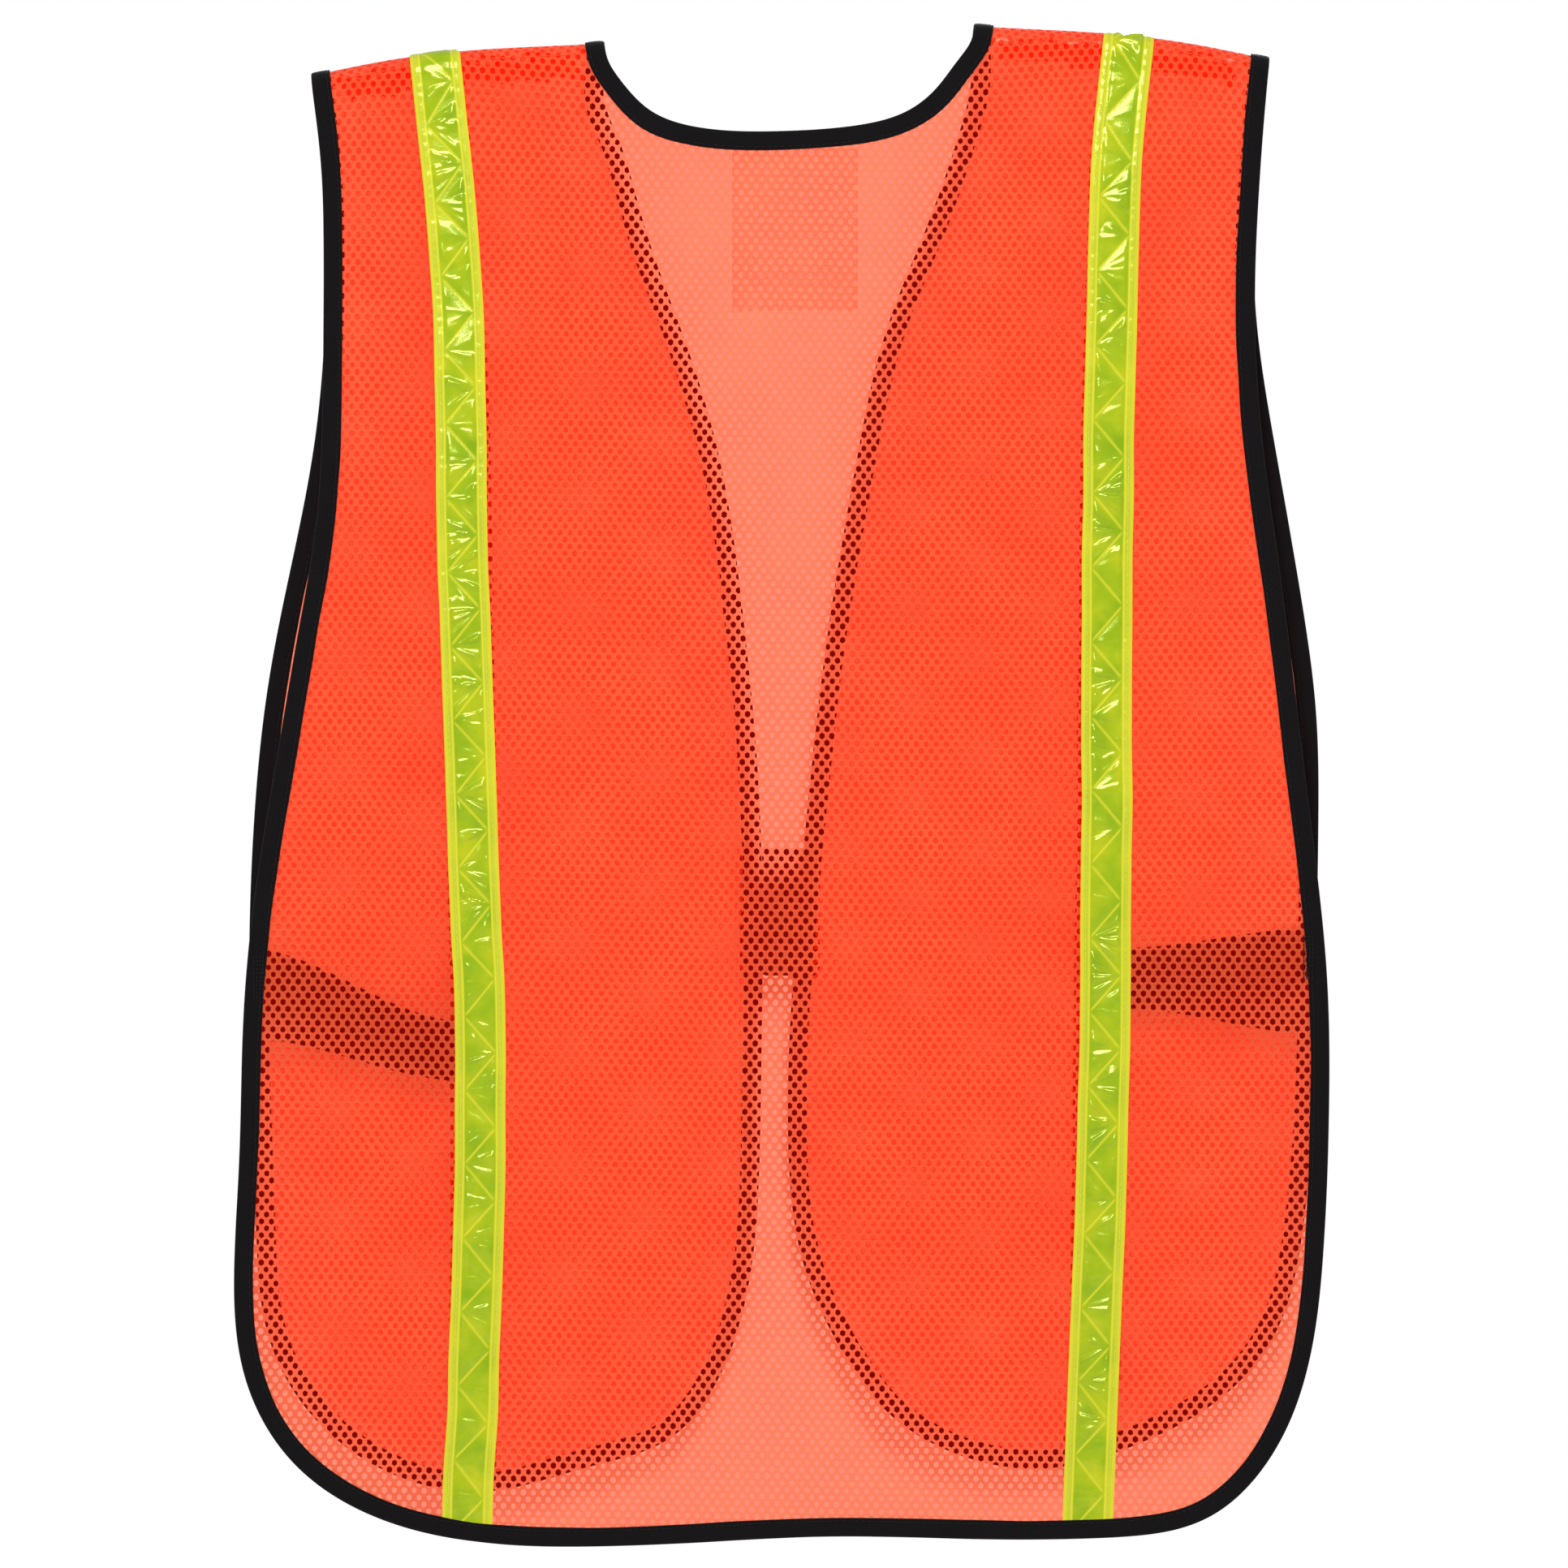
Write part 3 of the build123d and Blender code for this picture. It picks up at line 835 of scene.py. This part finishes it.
def mesh_cloth():
    """Fluorescent knit: fine vertical wales, slight random tone changes, painted shade on its
    inner faces, light through it.
    """
    s = Shader("mesh_orange", Roughness=0.72, Sheen_Weight=0.15, Sheen_Roughness=0.5,
               Specular_IOR_Level=0.25)
    flat = s.attribute("flat")
    knit = s.math("MULTIPLY", s.wave(flat, 340.0, "X", 1.2), s.wave(flat, 520.0, "Y", 1.0))
    body = s.ramp(s.noise(flat, 26.0, 3.0), (0.3, srgb(251, 79, 35)), (0.7, srgb(255, 97, 49)))
    yarn = s.mix(s.math("MULTIPLY", knit, 0.35), body, srgb(255, 121, 71))
    # Painted shade: faces seen from the inner side, in the gap between the layers, are darkened
    # towards a deep red to stand for the shade there.
    painted_gap_shade = s.node("ShaderNodeNewGeometry").outputs["Backfacing"]
    s.colour(s.mix(s.math("MULTIPLY", painted_gap_shade, 0.25), yarn, srgb(206, 34, 12)))
    return s.lit_through(0.38, srgb(255, 158, 128), s.bump(knit, 0.5, 0.25 * MM))


def veil_with_painted_shade():
    """Hair-fine fluorescent fibres across a hole, plus a pinkish tint on what is seen through
    it, which is painted shade and orange bounce light of a surface close behind the cloth.
    """
    s = Shader("painted_shade_veil")
    # Painted shade and bounce light: this clear share tints the white backdrop seen through a
    # hole salmon.
    clear = s.node("ShaderNodeBsdfTransparent", Color=srgb(255, 155, 128))
    fibre = s.node("ShaderNodeBsdfDiffuse", Color=srgb(255, 12, 0))
    s.tree.nodes.remove(s.bsdf)
    return s.surface(0.17, clear, fibre)


def woven(name, base, light, ribs, crossing, strength=0.6, sheen=0.25):
    """Woven tape: ribs along it, finer crossings, and a little wear in the shade."""
    s = Shader(name, Roughness=0.8, Sheen_Weight=sheen, Specular_IOR_Level=0.1)
    flat = s.attribute("flat")
    weave = s.math("MULTIPLY", s.wave(flat, ribs, "X", 0.6), s.wave(flat, crossing, "Y", 0.4))
    fluff = s.noise(flat, 900.0, 3.0)
    shade = s.math("MULTIPLY", s.noise(flat, 45.0, 3.0), weave)
    s.colour(s.ramp(shade, (0.1, base), (0.75, light)))
    s.bump(s.math("ADD", weave, s.math("MULTIPLY", fluff, 0.4)), strength, 0.2 * MM)
    return s.material


def film():
    """Glossy prismatic film: lime cells, paler welds, orange-tinted cut edges."""
    s = Shader("tape_lime", Roughness=0.16, IOR=1.54, Coat_Weight=0.2, Coat_Roughness=0.06,
               Specular_Tint=srgb(255, 255, 150))
    flat = s.attribute("flat")
    cell = s.ramp(s.noise(flat, 55.0, 3.0), (0.28, srgb(124, 160, 8)),
                  (0.5, srgb(148, 173, 14)), (0.75, srgb(180, 186, 20)))
    welded = s.mix(s.attribute("weld", "Fac"), cell, srgb(212, 206, 50))
    s.colour(s.mix(s.attribute("edge", "Fac"), welded, srgb(226, 186, 40)))
    prisms = s.math("MULTIPLY", s.cells(flat, 1500.0), 0.35)
    s.bump(s.math("ADD", prisms, s.noise(flat, 260.0, 4.0)), 0.22, 0.25 * MM)
    return s.material


def hook_and_loop():
    """Dull black pile."""
    s = Shader("hook_loop_black", Roughness=0.9, Sheen_Weight=0.05, Specular_IOR_Level=0.12)
    flat = s.attribute("flat")
    height = s.math("ADD", s.cells(flat, 950.0), s.noise(flat, 1500.0, 3.0))
    s.colour(s.ramp(height, (0.5, srgb(7, 6, 7)), (1.0, srgb(34, 30, 33))))
    s.bump(height, 0.9, 0.5 * MM)
    return s.material


def label_cloth():
    """White satin with plain grey rules, and no words."""
    s = Shader("label_white", Roughness=0.45, Sheen_Weight=0.2)
    flat = s.attribute("flat")
    weave = s.math("MULTIPLY", s.wave(flat, 900.0, "X"), s.wave(flat, 700.0, "Y"))
    tone = s.ramp(s.noise(flat, 60.0), (0.3, srgb(240, 239, 235)), (0.7, srgb(252, 251, 248)))
    s.colour(s.mix(s.attribute("print", "Fac"), tone, srgb(84, 80, 84)))
    return s.lit_through(0.66, srgb(255, 254, 252), s.bump(weave, 0.35, 0.12 * MM))


def thread_material(name, colour, light):
    """Twisted sewing thread."""
    s = Shader(name, Roughness=0.6, Specular_IOR_Level=0.15)
    where = s.node("ShaderNodeTexCoord").outputs["Object"]
    twist = s.wave(where, 1400.0, "DIAGONAL", 1.0)
    s.colour(s.ramp(twist, (0.2, colour), (0.8, light)))
    s.bump(twist, 0.5, 0.08 * MM)
    return s.material


MATERIAL = {
    "mesh_orange": mesh_cloth(),
    "painted_shade_veil": veil_with_painted_shade(),
    "binding_black": woven("binding_black", srgb(9, 7, 9), srgb(24, 20, 23), 900.0, 700.0,
                           sheen=0.04),
    "elastic_black": woven("elastic_black", srgb(9, 7, 8), srgb(30, 26, 29), 330.0, 900.0,
                           strength=0.9, sheen=0.05),
    "tape_lime": film(),
    "hook_loop_black": hook_and_loop(),
    "label_white": label_cloth(),
    "thread_black": thread_material("thread_black", srgb(10, 8, 9), srgb(36, 32, 34)),
    "thread_lime": thread_material("thread_lime", srgb(196, 198, 60), srgb(232, 234, 128)),
    "thread_orange": thread_material("thread_orange", srgb(225, 58, 28), srgb(255, 110, 70)),
}


def dress(obj, slot, material=None):
    """Gives a piece its material, which is the slot's unless one is named."""
    obj.data.materials.clear()
    obj.data.materials.append(MATERIAL[material or slot])
    return obj


# ---- cloth panels and their edges ----
def back_edges(ring_share):
    """The back's finished outer edge, and its neck edge."""
    left, right = (AXES[side]["up"] for side in SIDES)
    return (finished_edge(BACK_OUTER, 1, (left, right), ring_share),
            finished_edge(BACK_NECK, 1, (right, left), ring_share))


def make_back():
    """The back's mesh, its two bindings and their stitches."""
    edges = back_edges(BINDING_RING)
    outline = np.vstack(back_edges(BACK_RING))
    sheet, veil = knit_sheet("back_mesh", 1, outline[::2], BACK_GRAIN_DEG, seed=31)
    outer = binding("back_edge_binding", 1, edges[0], 1, seed=41)
    neck = binding("back_neck_binding", 1, edges[1], 1, seed=42)
    stitches = binding_thread("back_binding_thread", 1, edges, 1)
    for piece in (sheet, veil, outer, neck, stitches):
        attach(piece, ROOT)
    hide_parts("back_panel")
    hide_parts("back_hem_binding")
    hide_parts("neck_binding")


def cross_line(side, fold_line):
    """Start and end of the band in which cloth bends as a front folds open."""
    a, b = fold_line
    along = (b - a) / np.linalg.norm(b - a)
    inward = np.array([along[1], -along[0]])
    if inward[0] * SIGN[side] > 0:
        inward = -inward
    start = np.array([a[0], -BACK_Y, a[1]])
    step = np.array([inward[0], 0, inward[1]]) * BLEND_BAND
    return tuple(start), tuple(start + step)


def make_front(side):
    """A front's mesh, its binding and stitches; returns the ends of the band where the front
    folds open.
    """
    run, fold_line = read_front(side)
    inward = -SIGN[side]
    ups = (AXES[side]["up"], AXES[side]["up"])
    outline = finished_edge(run, inward, ups, FRONT_RING, SIDE_BULGE)
    edge = finished_edge(run, inward, ups, BINDING_RING, SIDE_BULGE)
    sheet, veil = knit_sheet(f"{side}_front_mesh", -1, outline[::2],
                             FRONT_GRAIN_DEG * SIGN[side], seed=32, lift=-0.2 * MM)
    bound = binding(f"{side}_front_edge_binding", -1, edge, inward, seed=43)
    stitches = binding_thread(f"{side}_front_binding_thread", -1, [edge], inward)
    start, end = cross_line(side, fold_line)
    for piece in (sheet, veil, bound, stitches):
        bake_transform(piece)
    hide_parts(f"{side}_shoulder_panel", f"{side}_front_panel")
    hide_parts(f"{side}_armhole_binding", f"{side}_front_binding")
    return start, end


def make_tape(side, start, end):
    """One strip of film, up the back, over the shoulder and down the front."""
    outer_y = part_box(f"{side}_back_tape")[1].y
    back = tape_line([f"{side}_back_tape"], outer_y, side)
    front = tape_line([f"{side}_back_tape", f"{side}_front_tape"], -outer_y, side)
    over = np.arange(TAPE_STEP, math.pi * FOLD_R, TAPE_STEP)[:, None] * AXES[side]["up"]
    rising = np.vstack([back, back[-1] + over])
    seed = 51 if side == "left" else 71
    shift = back[-1] - front[-1]
    front = front + shift * smoothstep((front[:, 1] + 0.10) / 0.10)[:, None]
    falling = front[::-1]
    behind, length = film_strip(f"{side}_tape_back", 1, rising, 1, 0, seed, True,
                                hem_slope_at(BACK_OUTER, back[0, 0]))
    ahead, rest = film_strip(f"{side}_tape_front", -1, falling, -1, length, seed, False,
                             hem_slope_at(read_front(side)[0], front[0, 0]))
    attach(behind, ROOT)
    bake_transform(ahead)
    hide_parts(f"{side}_back_tape")
    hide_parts(f"{side}_front_tape")
    sewn = []
    for name, sign, line in (("back", 1, rising[BARE_POINTS:]),
                             ("front", -1, falling[:-BARE_POINTS])):
        rows = [stitch_row(sign, inset(line, 1, offset), 0.88 * MM, radius=0.17 * MM)
                for offset in (-TAPE_STITCHES, TAPE_STITCHES)]
        sewn.append(thread(f"{side}_tape_thread_{name}", rows, "tape_lime", "thread_lime"))
    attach(sewn[0], ROOT)
    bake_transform(sewn[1])


def make_strap(side):
    """A side strap. Returns the stitch rows of its two bar tacks."""
    grid = side_strap_grid(side)
    run = run_length(grid[:, 0])
    across, along = np.meshgrid(np.linspace(0, STRAP_W, STRAP_COLS), run)
    strap = dress(slab(f"{side}_elastic_strap", grid, 1.1 * MM, across, along), "elastic_black")
    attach(strap, ROOT)
    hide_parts(f"{side}_side_strap")
    edge_x, _, back_z, front_z, _ = STRAP[side]
    rows = []
    for sign, top, lift in ((1, back_z, 1.15 * MM), (-1, front_z, -3.0 * MM)):
        for shift in np.linspace(-2.2, 2.2, 4) * MM:
            x = edge_x - SIGN[side] * 1.5 * MM + shift
            line = np.linspace((x, top - 3 * MM), (x, top - 27 * MM), 12)
            rows.append(stitch_row(sign, line, lift, pitch=2.0 * MM, radius=0.3 * MM))
    return rows


def make_label():
    """The blank label inside the back, curling a little towards its lower corners."""
    low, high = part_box("care_label")
    xs = np.linspace(low.x, high.x, LABEL_COLS)
    zs = np.linspace(high.z + 2 * MM, low.z, LABEL_ROWS)
    flat = pairs(*np.meshgrid(xs, zs))
    down = np.clip((high.z - flat[:, 1]) / LABEL_H, 0, 1)
    side = np.abs(flat[:, 0] - (low.x + high.x) / 2) / (LABEL_W / 2)
    curl = MM * (0.9 + 1.3 * down ** 3 * side ** 2 + 0.25 * np.sin(flat[:, 0] / 0.011) * down)
    printed = np.zeros(len(flat))
    for row, width in LABEL_RULES:
        printed[(np.abs(down - row) < 0.011) & (side < width)] = 1
    label = new_mesh("blank_label", place(1, flat, -curl),
                     grid_faces(LABEL_ROWS, LABEL_COLS), flat=flat, print=printed)
    dress(label, "label_white")
    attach(label, ROOT)
    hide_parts("care_label")


def make_seam(side):
    """Allowance turned down inside the back, and the stitches along the shoulder."""
    axis = AXES[side]
    up = axis["up"]
    ends = (12 * MM, axis["length"][0] - 12 * MM)
    first, last = (axis["neck"] + axis["along"] * far for far in ends)
    corners = [first + up * 3 * MM, last + up * 3 * MM, last - up * 9 * MM,
               first - up * 9 * MM]
    allowance, veil = knit_sheet(f"{side}_seam_allowance", 1, np.array(corners), 4.0, seed=61,
                                 lift=-1.0 * MM, margin=0.0, hole_size=0.8)
    line = np.linspace(first, last, 60) + up * 3.5 * MM
    seam = thread(f"{side}_seam_thread", [stitch_row(1, line, 0.2 * MM, pitch=SEAM_PITCH)],
                  "mesh_orange", "thread_orange")
    for piece in (allowance, veil, seam):
        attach(piece, ROOT)
    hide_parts(f"{side}_shoulder_seam")


def make_closure():
    """Hook tab sewn to the left front, and the loop patch that it presses on."""
    nodes = {"hook_tab_base": "closure_tab_base", "hook_tab": "closure_tab",
             "loop_patch": "closure_patch"}
    boxes = {name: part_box(node) for name, node in nodes.items()}
    low, high = boxes["hook_tab_base"]
    bottom, top, middle = low.z, high.z, (low.z + high.z) / 2
    bed = 1.2 * MM              # the binding under the pads

    def pad(name, lift, thickness):
        low, high = boxes[name]
        return pad_on(name, -1, (low.x, high.x), (top, bottom), bed + lift, thickness)

    def sewn_round(name, on, margin, lift):
        """Stitches round a pad, inside its edge."""
        low, high = boxes[on]
        x0, x1, z0, z1 = low.x + margin, high.x - margin, bottom + margin, top - margin
        corners = [(x0, z0), (x0, z1), (x1, z1), (x1, z0), (x0, z0)]
        return thread(name, [stitch_row(-1, np.linspace(a, b, 20), bed + lift,
                                        pitch=SEAM_PITCH)
                             for a, b in zip(corners, corners[1:])])
    base = pad("hook_tab_base", 1.25 * MM, 2.4 * MM)
    tab = pad("hook_tab", 1.9 * MM, 1.15 * MM)
    patch = pad("loop_patch", 0.5 * MM, 0.95 * MM)
    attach(base, "left_front")
    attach(patch, "right_front")
    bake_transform(tab)
    for piece in (base, tab, patch):
        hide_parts(nodes[piece.name])
    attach(sewn_round("hook_tab_thread", "hook_tab_base", 1.6 * MM, 2.5 * MM), "left_front")
    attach(sewn_round("loop_patch_thread", "loop_patch", 1.4 * MM, 1.0 * MM), "right_front")


make_back()
FRONTS = {side: make_front(side) for side in SIDES}
tack_rows = []
for side in SIDES:
    make_tape(side, *FRONTS[side])
    tack_rows += make_strap(side)
    make_seam(side)
tacks = thread("strap_tack_thread", tack_rows)
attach(tacks, ROOT)
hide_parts("strap_tacks")
make_label()
make_closure()


# ---- camera, light and floor ----
def aimed(name, data, location, target):
    """A camera or a light, pointed at its target."""
    obj = bpy.data.objects.new(name, data)
    obj.location = location
    obj.rotation_mode = "QUATERNION"
    obj.rotation_quaternion = (Vector(target) - Vector(location)).to_track_quat("-Z", "Y")
    bpy.context.scene.collection.objects.link(obj)
    return obj


def make_camera():
    """Square on to the vest's back, from far enough away to flatten it."""
    distance = 6.0
    frame_width = 0.7728
    middle = (0.0016, BACK_Y, -0.3752)
    data = bpy.data.cameras.new("camera")
    data.lens = data.sensor_width * distance / frame_width
    data.clip_end = 60.0
    stand = (middle[0], middle[1] + distance, middle[2])
    bpy.context.scene.camera = aimed("camera", data, stand, middle)


def softbox(name, location, size, power):
    """A rectangular light aimed at the vest's middle."""
    data = bpy.data.lights.new(name, "AREA")
    data.shape = "RECTANGLE"
    data.size, data.size_y = size
    data.energy = power
    aimed(name, data, location, (0, 0, -0.37))


def make_world(ambient, backdrop):
    """Soft light from all round, and a white backdrop for the camera alone."""
    world = bpy.data.worlds.new("studio")
    world.use_nodes = True
    tree = world.node_tree
    tree.nodes.clear()
    path, mix, output = (tree.nodes.new(f"ShaderNode{kind}")
                         for kind in ("LightPath", "MixShader", "OutputWorld"))
    tree.links.new(path.outputs["Is Camera Ray"], mix.inputs["Fac"])
    for strength, socket in zip((ambient, backdrop), mix.inputs[1:]):
        white = tree.nodes.new("ShaderNodeBackground")
        white.inputs["Color"].default_value = (1, 1, 1, 1)
        white.inputs["Strength"].default_value = strength
        tree.links.new(white.outputs[0], socket)
    tree.links.new(mix.outputs[0], output.inputs["Surface"])
    bpy.context.scene.world = world


def make_floor():
    """Pale disc well below the hanging hem, fading out into the backdrop."""
    radius, fade_radius, corners = 3.0, 2.6, 64
    turns = np.linspace(0, 2 * math.pi, corners + 1)[:-1]
    points = np.stack([radius * np.cos(turns), radius * np.sin(turns),
                       np.full(corners, FLOOR_Z)], axis=1)
    floor = new_mesh("floor", points, [list(range(corners))])
    s = Shader("floor_pale", Roughness=0.9, Base_Color=(0.8, 0.8, 0.79, 1))
    where = s.node("ShaderNodeTexCoord").outputs["Object"]
    near = s.node("ShaderNodeMapping", where, Scale=(1 / fade_radius, 1 / fade_radius, 0.0))
    fade = s.node("ShaderNodeTexGradient", near.outputs[0], gradient_type="SPHERICAL")
    solid = s.math("MINIMUM", s.math("MULTIPLY", fade.outputs["Fac"], 2.0), 1.0)
    s.surface(solid, s.node("ShaderNodeBsdfTransparent"), s.bsdf)
    floor.data.materials.append(s.material)


make_camera()
make_world(ambient=0.5, backdrop=1.0)
softbox("key", (0.2, 2.5, 1.05), (0.7, 1.6), 66)
softbox("front", (-0.3, -2.4, 1.0), (0.7, 1.3), 60)
make_floor()
bpy.context.scene.view_settings.view_transform = "Standard"
